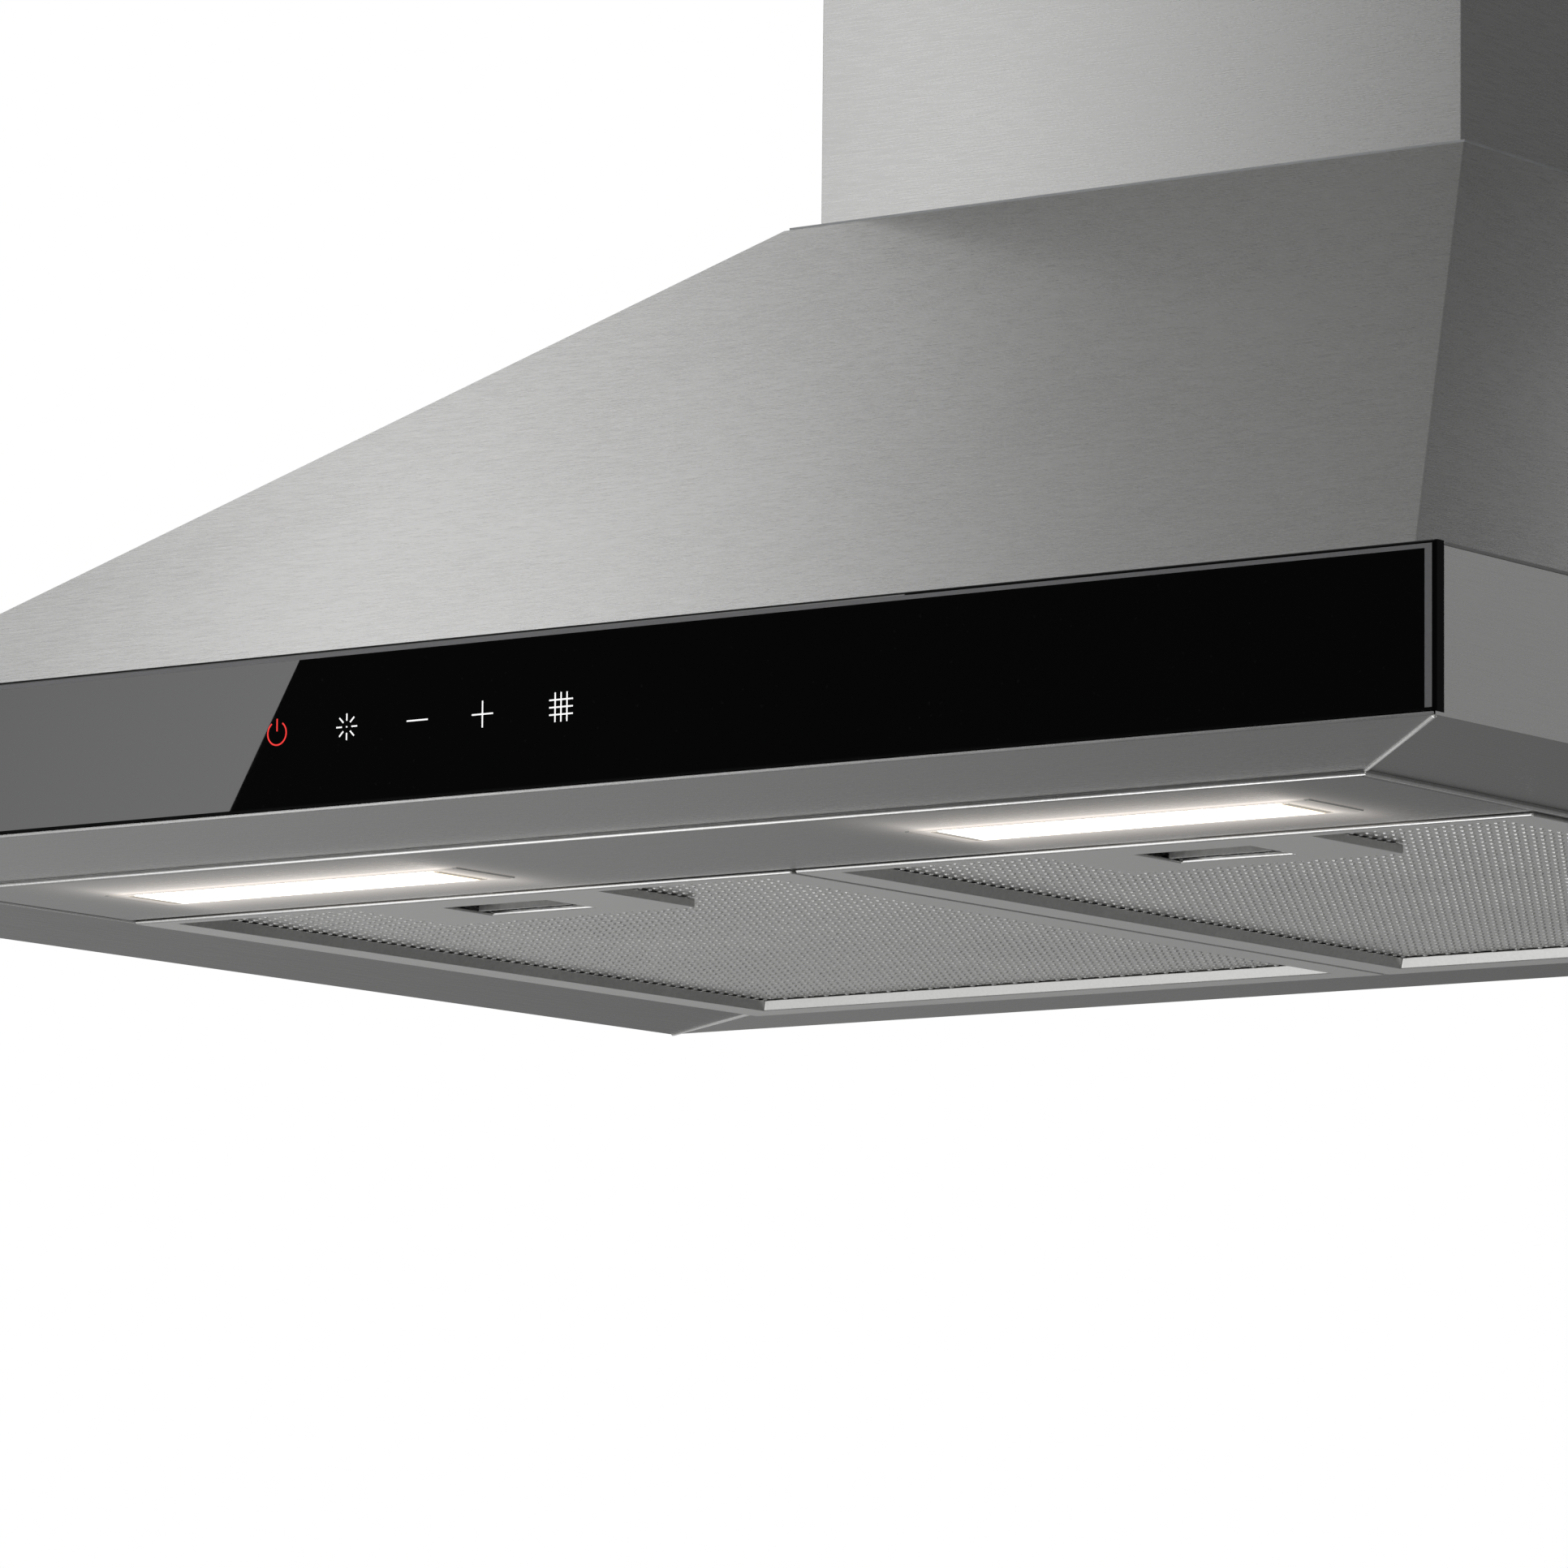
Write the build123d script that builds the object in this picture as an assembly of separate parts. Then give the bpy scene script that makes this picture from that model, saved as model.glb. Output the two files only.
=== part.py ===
from build123d import *
import os
from math import cos, hypot, radians, sin

# Wall-mounted chimney cooker hood, 60 cm class.  Millimetres, +Z up, the wall behind it at +Y.
# The pieces are laid out from a point under the middle of the hood, level with the grease filters'
# lowest edge, and saved from the origin: the middle of the four wall screw holes, on the wall.

os.makedirs("parts", exist_ok=True)

# ---- driving dimensions ----
WIDTH = 600.0
DEPTH = 500.0
BODY_HEIGHT = 41.4           # the flat band round the bottom
CANOPY_HEIGHT = 168.7        # the sloping part above it
COVER_LENGTH = 400.0         # each of the two telescoping chimney covers
COVER_TRAVEL = 330.0
SHEET = 1.0                  # stainless sheet of the body, canopy and covers
GAP = 0.3                    # between pieces that move past each other

HALF = WIDTH / 2
FRONT = -DEPTH / 2
WALL = DEPTH / 2

# underside: four mitred strips round one opening
STRIP_Z = 2.2                # underside of the strips
STRIP_SIDE = 68.5
STRIP_FRONT = 76.3
STRIP_REAR = 45.0
BEAD_DROP = 1.3              # the hem round the opening hangs this far under the strips
BEAD_SHARE = 0.03            # and takes this share of a strip's width
SEAM = 0.2
STRIP_TOP = STRIP_Z + SHEET
BODY_TOP = STRIP_Z + BODY_HEIGHT
OPEN_X = HALF - STRIP_SIDE
OPEN_FRONT = FRONT + STRIP_FRONT
OPEN_REAR = WALL - STRIP_REAR

# control glass on the front, with the touch board behind it
GLASS = 4.0
GLASS_BEVEL = 1.0
FASCIA = FRONT + GLASS       # front face of the sheet behind the glass
TOUCH_HALF = 62.0
TOUCH_LOW = 12.0
TOUCH_HIGH = 34.0
TOUCH_DEEP = 12.0
TOUCH_RIM = 4.0
BOARD = 1.6

# canopy
CANOPY_INSET_SIDE = 31.2
CANOPY_INSET_FRONT = 39.7
CANOPY_TOP_HALF = 115.6
CANOPY_TOP_FRONT = 59.1
CANOPY_TOP = BODY_TOP + CANOPY_HEIGHT
LEDGE_LAP = 12.0             # the ledge runs this far in under the canopy
HANG_X = 125.0               # wall screw holes in the back panel
HANG_LOW = 65.0
HANG_HIGH = 165.0
HANG_R = 4.0

# deck under the chimney, with the cable gland and the cut-out for the blower's outlet
DECK_HOLE_HALF = 88.0
DECK_HOLE_FRONT = 88.0
DECK_HOLE_REAR = 226.0
GLAND_X = -70.0
GLAND_Y = 242.0
GLAND_R = 4.0
GLAND_NUT = 1.5              # the gland's nuts stand out this far all round

# chimney covers
COVER_HALF = 109.7
COVER_FRONT = 66.6
COVER_LIP = 12.0
COVER_SHOW = 30.0            # the inner cover stands this far out of the outer one at rest
COVER_PLAY = 0.5
COVER_Z = CANOPY_TOP
INNER_HALF = COVER_HALF - SHEET - COVER_PLAY
INNER_FRONT = COVER_FRONT + SHEET + COVER_PLAY
INNER_BACK = WALL - SHEET - COVER_PLAY
INNER_TOP = COVER_Z + COVER_LENGTH + COVER_SHOW
SLOTS = 8
SLOT_DROP = 45.0             # the first air slot is this far under the top
SLOT_PITCH = 12.0
SLOT_H = 5.0
SLOT_FRONT = 110.0
SLOT_REAR = 170.0
BRACKET_Z = INNER_TOP - 25.0
BRACKET_H = 20.0
BRACKET_T = 1.5
BRACKET_ARM = 40.0
BRACKET_HOLE_X = 60.0
BRACKET_HOLE_R = 2.5
BRACKET_SCREW_Y = 225.0
BRACKET_SCREW_R = 1.9
BRACKET_HEAD_R = 3.5

# lamp panel and lamps
PANEL_Z = 1.0
PANEL_GAP = 0.5
PANEL_HALF = OPEN_X - PANEL_GAP
PANEL_FRONT = OPEN_FRONT + PANEL_GAP
PANEL_REAR = -94.2
PANEL_FLANGE = 12.0
LAMP_X = 135.3
LAMP_Y = -132.2
LAMP_L = 116.0               # opening in the panel
LAMP_W = 23.4
LAMP_FIT = 0.2
LAMP_H = 13.0
BEZEL_Z = 0.6                # underside of the bezel round each lens
BEZEL_L = 121.3
BEZEL_W = 25.4
LENS_Z = 0.4                 # underside of the lens
LENS_Y = -132.8
LENS_L = 109.6
LENS_W = 20.4
LENS_T = 2.4
LUG = 4.0                    # the snap lugs at a lamp's ends reach this far over the panel

# grease filters: a channel frame round a perforated sheet, a mesh core and a top sheet
FILTER_X = 115.6
FILTER_HALF = 114.9
FILTER_FRONT = -92.8
FILTER_REAR = 201.5
FILTER_T = 9.0
RAIL = 11.5
RAIL_SLOPE = 2.0
RAIL_FRONT = 5.0
RECESS = 3.0                 # the perforated sheet lies this far above the rails' lowest face
FRAME_LIP = 9.0              # width of the frame's upper lip
SKIN = 0.8
PERF = 0.6
CORE_Z = RECESS + PERF
TOP_Z = FILTER_T - SKIN - PERF
HOOK_X = 85.0
HOOK_W = 20.0
HOOK_REACH = 8.0
PIVOT_Y = OPEN_REAR
PIVOT_Z = STRIP_TOP + GAP

# latch in the front of each filter
PLATE_HALF = 43.0
PLATE_REAR = -40.0
PLATE_Z = 0.6
WINDOW_HALF = 18.0
WINDOW_FRONT = -75.0
WINDOW_REAR = -53.0
LATCH_Z = CORE_Z + GAP
LATCH_T = 1.0
LATCH_HALF = 17.0
TONGUE_HALF = 12.0
TONGUE_TIP = -100.0
TAB_Y = -61.8
LATCH_REAR = -47.0
LATCH_NECK = -84.0           # the slide narrows to its tongue here
LATCH_SLOT_HALF = TONGUE_HALF + 1.5
GUIDE_HALF = 20.8
GUIDE_REAR = -24.2
SPRING_R = 1.3
SPRING_WIRE = 0.5

# blower: a squirrel cage on a horizontal shaft in a scroll, blowing up into an outlet box
AXIS_Z = 140.0
FAN_R = 60.0
FAN_INNER = 48.0
FAN_FRONT = 101.0
FAN_REAR = 200.0
BLADES = 32
SCROLL_START = 66.0          # scroll radius at the cut-off
SCROLL_END = 84.0            # and where it runs into the outlet
CUTOFF = 50.0                # degrees above the +X direction
SCROLL_FRONT = 92.0
SCROLL_REAR = 222.0
PLASTIC = 1.5
INLET_R = 52.0
MOTOR_R = 38.0
MOTOR_FRONT = 150.0
SHAFT_R = 4.0
BOX_HALF = 98.0
BOX_FLANGE = 8.5
BOX_FRONT = 80.0
BOX_REAR = 235.0
BOX_TOP = CANOPY_TOP + 38.0
BOX_SCREW_X = 94.0
BOX_SCREW_YS = (95.0, 220.0)
BOX_SCREW_R = 2.0
COLLAR_Y = 157.5
COLLAR_R = 74.5
COLLAR_WALL = 2.0
COLLAR_TOP = BOX_TOP + 60.0
FLAP_Z = BOX_TOP + 25.0
FLAP_R = 70.0
FLAP_OFF = 4.0
BARREL_R = 3.0
FLAP_PIN_R = 1.5
RUNNING = 0.1                # radial play of a pin or shaft in its bore

# control box on the back panel
CASE_X = (-215.0, -145.0)
CASE_Y = (207.0, WALL - SHEET)
CASE_Z = (50.0, 92.0)
CASE_WALL = 2.0


# ---- helpers ----
def block(x0, x1, y0, y1, z0, z1):
    return Pos((x0 + x1) / 2, (y0 + y1) / 2, (z0 + z1) / 2) * Box(x1 - x0, y1 - y0, z1 - z0)


def plate(points, z0, z1):
    """A flat outline in X and Y, from z0 up to z1."""
    return extrude(Pos(0, 0, z0) * make_face(Polyline(*points, close=True)), z1 - z0)


def upright(points, y0, y1):
    """A flat outline in X and Z, from y0 back to y1."""
    face = make_face(Polyline(*[(x, y0, z) for x, z in points], close=True))
    return extrude(face, y1 - y0, dir=(0, 1, 0))


def rod_x(x0, x1, y, z, r):
    return Pos((x0 + x1) / 2, y, z) * Rot(0, 90, 0) * Cylinder(r, x1 - x0)


def rod_y(x, y0, y1, z, r):
    return Pos(x, (y0 + y1) / 2, z) * Rot(90, 0, 0) * Cylinder(r, y1 - y0)


def rod_z(x, y, z0, z1, r):
    return Pos(x, y, (z0 + z1) / 2) * Cylinder(r, z1 - z0)


def frustum(low, z0, high, z1):
    """A solid between two rectangles (x0, x1, y0, y1), one at each height."""
    faces = []
    for (x0, x1, y0, y1), z in ((low, z0), (high, z1)):
        faces.append(Pos((x0 + x1) / 2, (y0 + y1) / 2, z) * Rectangle(x1 - x0, y1 - y0))
    return loft(faces, ruled=True)


def save(name, *solids):
    """Writes one sub-part, its origin moved from the layout point to the wall fixing."""
    moved = [Pos(0, -WALL, -(HANG_LOW + HANG_HIGH) / 2) * solid for solid in solids]
    shape = moved[0] if len(moved) == 1 else Compound(children=moved)
    export_step(shape, f"parts/{name}.step")


# ---- body: four mitred L-shaped rails and the ledge on top of them ----
def corner(side, end, share):
    """A point on a mitre: share 0 at the opening's corner, 1 at the hood's outer corner."""
    inner = (side * OPEN_X, OPEN_FRONT if end < 0 else OPEN_REAR)
    outer = (side * HALF, FRONT if end < 0 else WALL)
    return tuple(i + share * (o - i) for i, o in zip(inner, outer))


def strip(corners, dx=0.0, dy=0.0):
    """The flat strip between two mitres with the hem along its inner edge."""
    (s0, e0), (s1, e1) = corners

    def outline(share):
        points = [corner(s0, e0, share), corner(s1, e1, share), corner(s1, e1, 0), corner(s0, e0, 0)]
        return [(x - dx * (x > 0) + dx * (x < 0), y - dy * (y > 0) + dy * (y < 0)) for x, y in points]

    flat = plate(outline(1.0), STRIP_Z, STRIP_TOP)
    return flat + plate(outline(BEAD_SHARE), STRIP_Z - BEAD_DROP, STRIP_Z)


def body_rails():
    window = block(-TOUCH_HALF, TOUCH_HALF, FASCIA - 1, FASCIA + SHEET + 1, TOUCH_LOW, TOUCH_HIGH)
    top = BODY_TOP - SHEET
    inside = HALF - SHEET
    front_wall = block(-inside, inside, FASCIA, FASCIA + SHEET, STRIP_TOP, top) - window
    save("front_rail", strip(((-1, -1), (1, -1)), dx=SEAM) + front_wall)
    rear_wall = block(-inside, inside, WALL - SHEET, WALL, STRIP_TOP, top)
    save("rear_rail", strip(((-1, 1), (1, 1)), dx=SEAM) + rear_wall)
    for side, name in ((-1, "left_rail"), (1, "right_rail")):
        xs = sorted((side * inside, side * HALF))
        wall = block(*xs, FASCIA, WALL, STRIP_TOP, top)
        save(name, strip(((side, -1), (side, 1)), dy=SEAM) + wall)


def top_ledge():
    hole_x = HALF - CANOPY_INSET_SIDE - LEDGE_LAP
    hole_front = FRONT + CANOPY_INSET_FRONT + LEDGE_LAP
    low = BODY_TOP - SHEET
    sheet = block(-HALF, HALF, FASCIA, WALL, low, BODY_TOP)
    save("top_ledge", sheet - block(-hole_x, hole_x, hole_front, WALL - LEDGE_LAP, low - 1, BODY_TOP + 1))


# ---- control glass and touch module ----
def control_glass():
    glass = block(-HALF, HALF, FRONT, FASCIA, STRIP_TOP, BODY_TOP)
    face = glass.faces().sort_by(Axis.Y)[0]
    save("control_glass", chamfer(face.edges(), GLASS_BEVEL))


def touch_module():
    board = block(-TOUCH_HALF + 2, TOUCH_HALF - 2, FASCIA, FASCIA + BOARD, TOUCH_LOW + 1, TOUCH_HIGH - 1)
    save("touch_board", board)
    front, back = FASCIA + SHEET, FASCIA + SHEET + TOUCH_DEEP
    half = TOUCH_HALF + TOUCH_RIM
    shell = block(-half, half, front, back, TOUCH_LOW - TOUCH_RIM, TOUCH_HIGH + TOUCH_RIM)
    room = block(-TOUCH_HALF, TOUCH_HALF, front - 1, back - PLASTIC, TOUCH_LOW, TOUCH_HIGH)
    save("touch_cover", shell - room)


# ---- canopy, back panel and the deck that carries the blower and the chimney ----
def canopy_half(z):
    """Half the canopy's outer width at a height."""
    share = (z - BODY_TOP) / CANOPY_HEIGHT
    return (HALF - CANOPY_INSET_SIDE) * (1 - share) + CANOPY_TOP_HALF * share


def canopy_front(z):
    share = (z - BODY_TOP) / CANOPY_HEIGHT
    return (FRONT + CANOPY_INSET_FRONT) * (1 - share) + CANOPY_TOP_FRONT * share


def canopy():
    z1 = CANOPY_TOP - SHEET
    side_in = SHEET * hypot(canopy_half(BODY_TOP) - CANOPY_TOP_HALF, CANOPY_HEIGHT) / CANOPY_HEIGHT
    front_in = SHEET * hypot(CANOPY_TOP_FRONT - canopy_front(BODY_TOP), CANOPY_HEIGHT) / CANOPY_HEIGHT

    def section(z, dx, dy, back):
        return (-canopy_half(z) + dx, canopy_half(z) - dx, canopy_front(z) + dy, back)

    outer = frustum(section(BODY_TOP, 0, 0, WALL - SHEET), BODY_TOP, section(z1, 0, 0, WALL - SHEET), z1)
    inner = frustum(
        section(BODY_TOP, side_in, front_in, WALL + 1), BODY_TOP, section(z1, side_in, front_in, WALL + 1), z1
    )
    save("canopy_shell", outer - inner)


def back_panel():
    z1 = CANOPY_TOP - SHEET
    low, high = canopy_half(BODY_TOP), canopy_half(z1)
    panel = upright([(-low, BODY_TOP), (low, BODY_TOP), (high, z1), (-high, z1)], WALL - SHEET, WALL)
    for x in (-HANG_X, HANG_X):
        for z in (HANG_LOW, HANG_HIGH):
            panel -= rod_y(x, WALL - SHEET - 1, WALL + 1, z, HANG_R)
    save("back_panel", panel)


def box_screw_places():
    return [(x, y) for x in (-BOX_SCREW_X, BOX_SCREW_X) for y in BOX_SCREW_YS]


def deck_plate():
    low = CANOPY_TOP - SHEET
    deck = block(-CANOPY_TOP_HALF, CANOPY_TOP_HALF, CANOPY_TOP_FRONT, WALL, low, CANOPY_TOP)
    deck -= block(
        -DECK_HOLE_HALF, DECK_HOLE_HALF, DECK_HOLE_FRONT, DECK_HOLE_REAR, low - 1, CANOPY_TOP + 1
    )
    deck -= rod_z(GLAND_X, GLAND_Y, low - 1, CANOPY_TOP + 1, GLAND_R)
    for x, y in box_screw_places():
        deck -= rod_z(x, y, low - 1, CANOPY_TOP + 1, BOX_SCREW_R + RUNNING)
    save("deck_plate", deck)


def cable_gland():
    low = CANOPY_TOP - SHEET
    body = rod_z(GLAND_X, GLAND_Y, low - 7, CANOPY_TOP + 10, GLAND_R)
    body += rod_z(GLAND_X, GLAND_Y, CANOPY_TOP, CANOPY_TOP + 5, GLAND_R + GLAND_NUT)
    body += rod_z(GLAND_X, GLAND_Y, low - 4, low, GLAND_R + GLAND_NUT)
    save("cable_gland", body - rod_z(GLAND_X, GLAND_Y, low - 8, CANOPY_TOP + 11, GLAND_R - 1))


# ---- chimney covers ----
def channel(half, front, back, z0, z1):
    """Sheet bent to three sides, with lips along the wall and open to it between them."""
    outer = block(-half, half, front, back, z0, z1)
    outer -= block(-half + SHEET, half - SHEET, front + SHEET, back - SHEET, z0 - 1, z1 + 1)
    return outer - block(-half + COVER_LIP, half - COVER_LIP, back - 2 * SHEET, back + 1, z0 - 1, z1 + 1)


def chimney():
    save("chimney_lower", channel(COVER_HALF, COVER_FRONT, WALL, COVER_Z, COVER_Z + COVER_LENGTH))
    inner = channel(INNER_HALF, INNER_FRONT, INNER_BACK, INNER_TOP - COVER_LENGTH, INNER_TOP)
    for i in range(SLOTS):
        z = INNER_TOP - SLOT_DROP - SLOT_PITCH * i
        inner -= block(-HALF, HALF, SLOT_FRONT, SLOT_REAR, z - SLOT_H / 2, z + SLOT_H / 2)
    mid = BRACKET_Z + BRACKET_H / 2
    inner -= rod_x(-HALF, HALF, BRACKET_SCREW_Y, mid, BRACKET_SCREW_R + RUNNING)
    save("chimney_upper", inner)


def chimney_bracket():
    inside = INNER_HALF - SHEET
    top = BRACKET_Z + BRACKET_H
    mid = BRACKET_Z + BRACKET_H / 2
    rear = INNER_BACK - SHEET
    bar = block(-inside, inside, rear - BRACKET_T, rear, BRACKET_Z, top)
    bar += block(-INNER_HALF + COVER_LIP + 2, INNER_HALF - COVER_LIP - 2, rear, WALL, BRACKET_Z, top)
    for side in (-1, 1):
        xs = sorted((side * inside, side * (inside - BRACKET_T)))
        bar += block(*xs, rear - BRACKET_ARM, rear, BRACKET_Z, top)
    bar -= rod_x(-HALF, HALF, BRACKET_SCREW_Y, mid, BRACKET_SCREW_R + RUNNING)
    for x in (-BRACKET_HOLE_X, BRACKET_HOLE_X):
        bar -= rod_y(x, rear - 10, WALL + 1, mid, BRACKET_HOLE_R)
    save("chimney_bracket", bar)
    screws = []
    for side in (-1, 1):
        shank = sorted((side * (INNER_HALF - 8), side * INNER_HALF))
        head = sorted((side * INNER_HALF, side * (INNER_HALF + 1.5)))
        screw = rod_x(*shank, BRACKET_SCREW_Y, mid, BRACKET_SCREW_R)
        screws.append(screw + rod_x(*head, BRACKET_SCREW_Y, mid, BRACKET_HEAD_R))
    save("bracket_screws", *screws)


# ---- lamp panel and lamps ----
def lamp_panel():
    top = PANEL_Z + SHEET
    high = top + PANEL_FLANGE
    pan = block(-PANEL_HALF, PANEL_HALF, PANEL_FRONT, PANEL_REAR, PANEL_Z, high)
    pan -= block(
        -PANEL_HALF + SHEET, PANEL_HALF - SHEET, PANEL_FRONT + SHEET, PANEL_REAR - SHEET, top, high + 1
    )
    for side in (-1, 1):
        x = side * LAMP_X
        pan -= Pos(x, LAMP_Y, PANEL_Z) * Box(LAMP_L, LAMP_W, 4 * SHEET)
        x = side * FILTER_X
        pan -= block(
            x - LATCH_SLOT_HALF, x + LATCH_SLOT_HALF, PANEL_REAR - 5, PANEL_REAR + 1,
            LATCH_Z - 0.7, LATCH_Z + LATCH_T + 0.7,
        )
    save("lamp_panel", pan)


def lamp(side, name):
    """A lamp snapped into the panel: bezel under it, case above it, frosted lens through both."""
    x = side * LAMP_X
    roof = PANEL_Z + LAMP_H
    half_l, half_w = LAMP_L / 2 - LAMP_FIT, LAMP_W / 2 - LAMP_FIT
    case = block(x - half_l, x + half_l, LAMP_Y - half_w, LAMP_Y + half_w, PANEL_Z, roof)
    case += Pos(x, LAMP_Y, (BEZEL_Z + PANEL_Z) / 2) * Box(BEZEL_L, BEZEL_W, PANEL_Z - BEZEL_Z)
    case += Pos(x, LAMP_Y, PANEL_Z + 1.5 * SHEET) * Box(LAMP_L + 2 * LUG, 2 * LUG, SHEET)
    lens_x = (x - LENS_L / 2, x + LENS_L / 2)
    lens_y = (LENS_Y - LENS_W / 2, LENS_Y + LENS_W / 2)
    case -= block(*lens_x, *lens_y, 0, roof - PLASTIC)
    save(f"lamp_case_{name}", case)
    save(f"lamp_lens_{name}", block(*lens_x, *lens_y, LENS_Z, LENS_Z + LENS_T))
    save(f"led_board_{name}", block(*lens_x, *lens_y, roof - PLASTIC - BOARD, roof - PLASTIC))


# ---- grease filters ----
def filter_parts(side, name):
    x = side * FILTER_X
    left, right = x - FILTER_HALF, x + FILTER_HALF

    frame = block(left, right, FILTER_FRONT, FILTER_REAR, 0, FILTER_T)
    low = (left + RAIL, right - RAIL, FILTER_FRONT + RAIL_FRONT, FILTER_REAR - RAIL)
    high = (low[0] + RAIL_SLOPE, low[1] - RAIL_SLOPE, low[2], low[3] - RAIL_SLOPE)
    frame -= frustum(low, 0, high, RECESS)
    frame -= block(left + SKIN, right - SKIN, FILTER_FRONT + SKIN, FILTER_REAR - SKIN, RECESS, FILTER_T - SKIN)
    frame -= block(
        left + FRAME_LIP, right - FRAME_LIP, FILTER_FRONT + FRAME_LIP, FILTER_REAR - FRAME_LIP,
        FILTER_T - SKIN, FILTER_T + 1,
    )
    frame -= block(
        x - TONGUE_HALF - 0.5, x + TONGUE_HALF + 0.5, FILTER_FRONT - 1, FILTER_FRONT + SKIN,
        LATCH_Z - 0.4, LATCH_Z + LATCH_T + 0.4,
    )
    save(f"filter_frame_{name}", frame)

    inside = (left + SKIN, right - SKIN, FILTER_FRONT + SKIN, FILTER_REAR - SKIN)
    face = block(*inside, RECESS, CORE_Z)
    face -= block(x - PLATE_HALF + 3, x + PLATE_HALF - 3, low[2], PLATE_REAR - 2, 0, CORE_Z + 1)
    save(f"filter_face_{name}", face)
    core = block(*inside, CORE_Z, TOP_Z)
    core -= block(x - GUIDE_HALF, x + GUIDE_HALF, FILTER_FRONT, GUIDE_REAR, CORE_Z - 1, TOP_Z + 1)
    save(f"filter_core_{name}", core)
    save(f"filter_top_{name}", block(*inside, TOP_Z, TOP_Z + PERF))

    hooks = []
    for hx in (x - HOOK_X, x + HOOK_X):
        tab = block(
            hx - HOOK_W / 2, hx + HOOK_W / 2, FILTER_REAR, PIVOT_Y + HOOK_REACH, PIVOT_Z, PIVOT_Z + 1
        )
        foot = block(hx - HOOK_W / 2, hx + HOOK_W / 2, FILTER_REAR, FILTER_REAR + 1, PIVOT_Z, FILTER_T - 1)
        hooks.append(tab + foot)
    save(f"filter_hooks_{name}", *hooks)


def handle_plate(side, name):
    x = side * FILTER_X
    front = FILTER_FRONT + RAIL_FRONT
    pan = block(x - PLATE_HALF, x + PLATE_HALF, front, PLATE_REAR, PLATE_Z, RECESS)
    pan -= block(
        x - PLATE_HALF + SKIN, x + PLATE_HALF - SKIN, front - 1, PLATE_REAR - SKIN, PLATE_Z + SKIN, RECESS + 1
    )
    pan -= block(x - WINDOW_HALF, x + WINDOW_HALF, WINDOW_FRONT, WINDOW_REAR, 0, RECESS)
    save(f"handle_plate_{name}", pan)


def latch(side, name):
    x = side * FILTER_X
    top = LATCH_Z + LATCH_T
    slide = block(x - LATCH_HALF, x + LATCH_HALF, LATCH_NECK, LATCH_REAR, LATCH_Z, top)
    slide += block(x - TONGUE_HALF, x + TONGUE_HALF, TONGUE_TIP, LATCH_NECK, LATCH_Z, top)
    slide += block(x - LATCH_HALF + 1, x + LATCH_HALF - 1, TAB_Y, TAB_Y + 1, PLATE_Z + GAP, LATCH_Z)
    slide += block(x - LATCH_HALF, x + LATCH_HALF, LATCH_REAR - 1, LATCH_REAR, top, TOP_Z - 1.2)
    slide -= block(x - LATCH_HALF + 3, x + LATCH_HALF - 3, WINDOW_FRONT, TAB_Y - 1, LATCH_Z - 1, top + 1)
    save(f"latch_slide_{name}", slide)

    guide = block(x - GUIDE_HALF, x + GUIDE_HALF, FILTER_FRONT + SKIN, GUIDE_REAR, CORE_Z, TOP_Z)
    guide -= block(
        x - GUIDE_HALF + SHEET, x + GUIDE_HALF - SHEET, FILTER_FRONT, GUIDE_REAR - SHEET, 0, TOP_Z - SKIN
    )
    save(f"latch_guide_{name}", guide)

    mid = (CORE_Z + TOP_Z - SKIN) / 2
    coil = rod_y(x, LATCH_REAR, GUIDE_REAR - SHEET, mid, SPRING_R)
    save(f"latch_spring_{name}", coil - rod_y(x, LATCH_REAR - 1, GUIDE_REAR, mid, SPRING_R - SPRING_WIRE))


# ---- blower ----
def spiral(offset, steps=30):
    """The scroll's outline from the cut-off round to the outlet side, moved out by offset."""
    points = []
    for i in range(steps + 1):
        angle = radians(CUTOFF + (360 - CUTOFF) * i / steps)
        r = SCROLL_START + (SCROLL_END - SCROLL_START) * i / steps + offset
        points.append((r * cos(angle), AXIS_Z + r * sin(angle)))
    return points


def scroll(offset, y0, y1):
    """The scroll with its outlet neck up to the deck, its outline moved out by offset."""
    curve = [(x, y0, z) for x, z in spiral(offset)]
    wall = Spline(*curve)
    region = extrude(make_face([wall, Line(curve[-1], curve[0])]), y1 - y0, dir=(0, 1, 0))
    tongue = spiral(0)[0][0]
    return region + block(tongue - offset, SCROLL_END + offset, y0, y1, AXIS_Z, CANOPY_TOP)


def blower_housing():
    mid = (SCROLL_FRONT + PLASTIC, SCROLL_REAR - PLASTIC)
    outer = scroll(PLASTIC, SCROLL_FRONT, SCROLL_REAR)
    inner = scroll(0, *mid)
    band = outer & block(-HALF, HALF, *mid, 0, CANOPY_TOP + 1)
    save("scroll_band", band - inner)
    front = outer & block(-HALF, HALF, SCROLL_FRONT, mid[0], 0, CANOPY_TOP)
    save("scroll_front", front - rod_y(0, SCROLL_FRONT - 1, mid[0] + 1, AXIS_Z, INLET_R))
    rear = outer & block(-HALF, HALF, mid[1], SCROLL_REAR, 0, CANOPY_TOP)
    save("scroll_rear", rear - rod_y(0, mid[1] - 1, SCROLL_REAR + 1, AXIS_Z, MOTOR_R + 2))
    ring = rod_y(0, SCROLL_FRONT - 2, SCROLL_FRONT, AXIS_Z, INLET_R + 9)
    ring += rod_y(0, SCROLL_FRONT, SCROLL_FRONT + 7, AXIS_Z, INLET_R)
    save("inlet_ring", ring - rod_y(0, SCROLL_FRONT - 3, SCROLL_FRONT + 8, AXIS_Z, INLET_R - 2))


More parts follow.
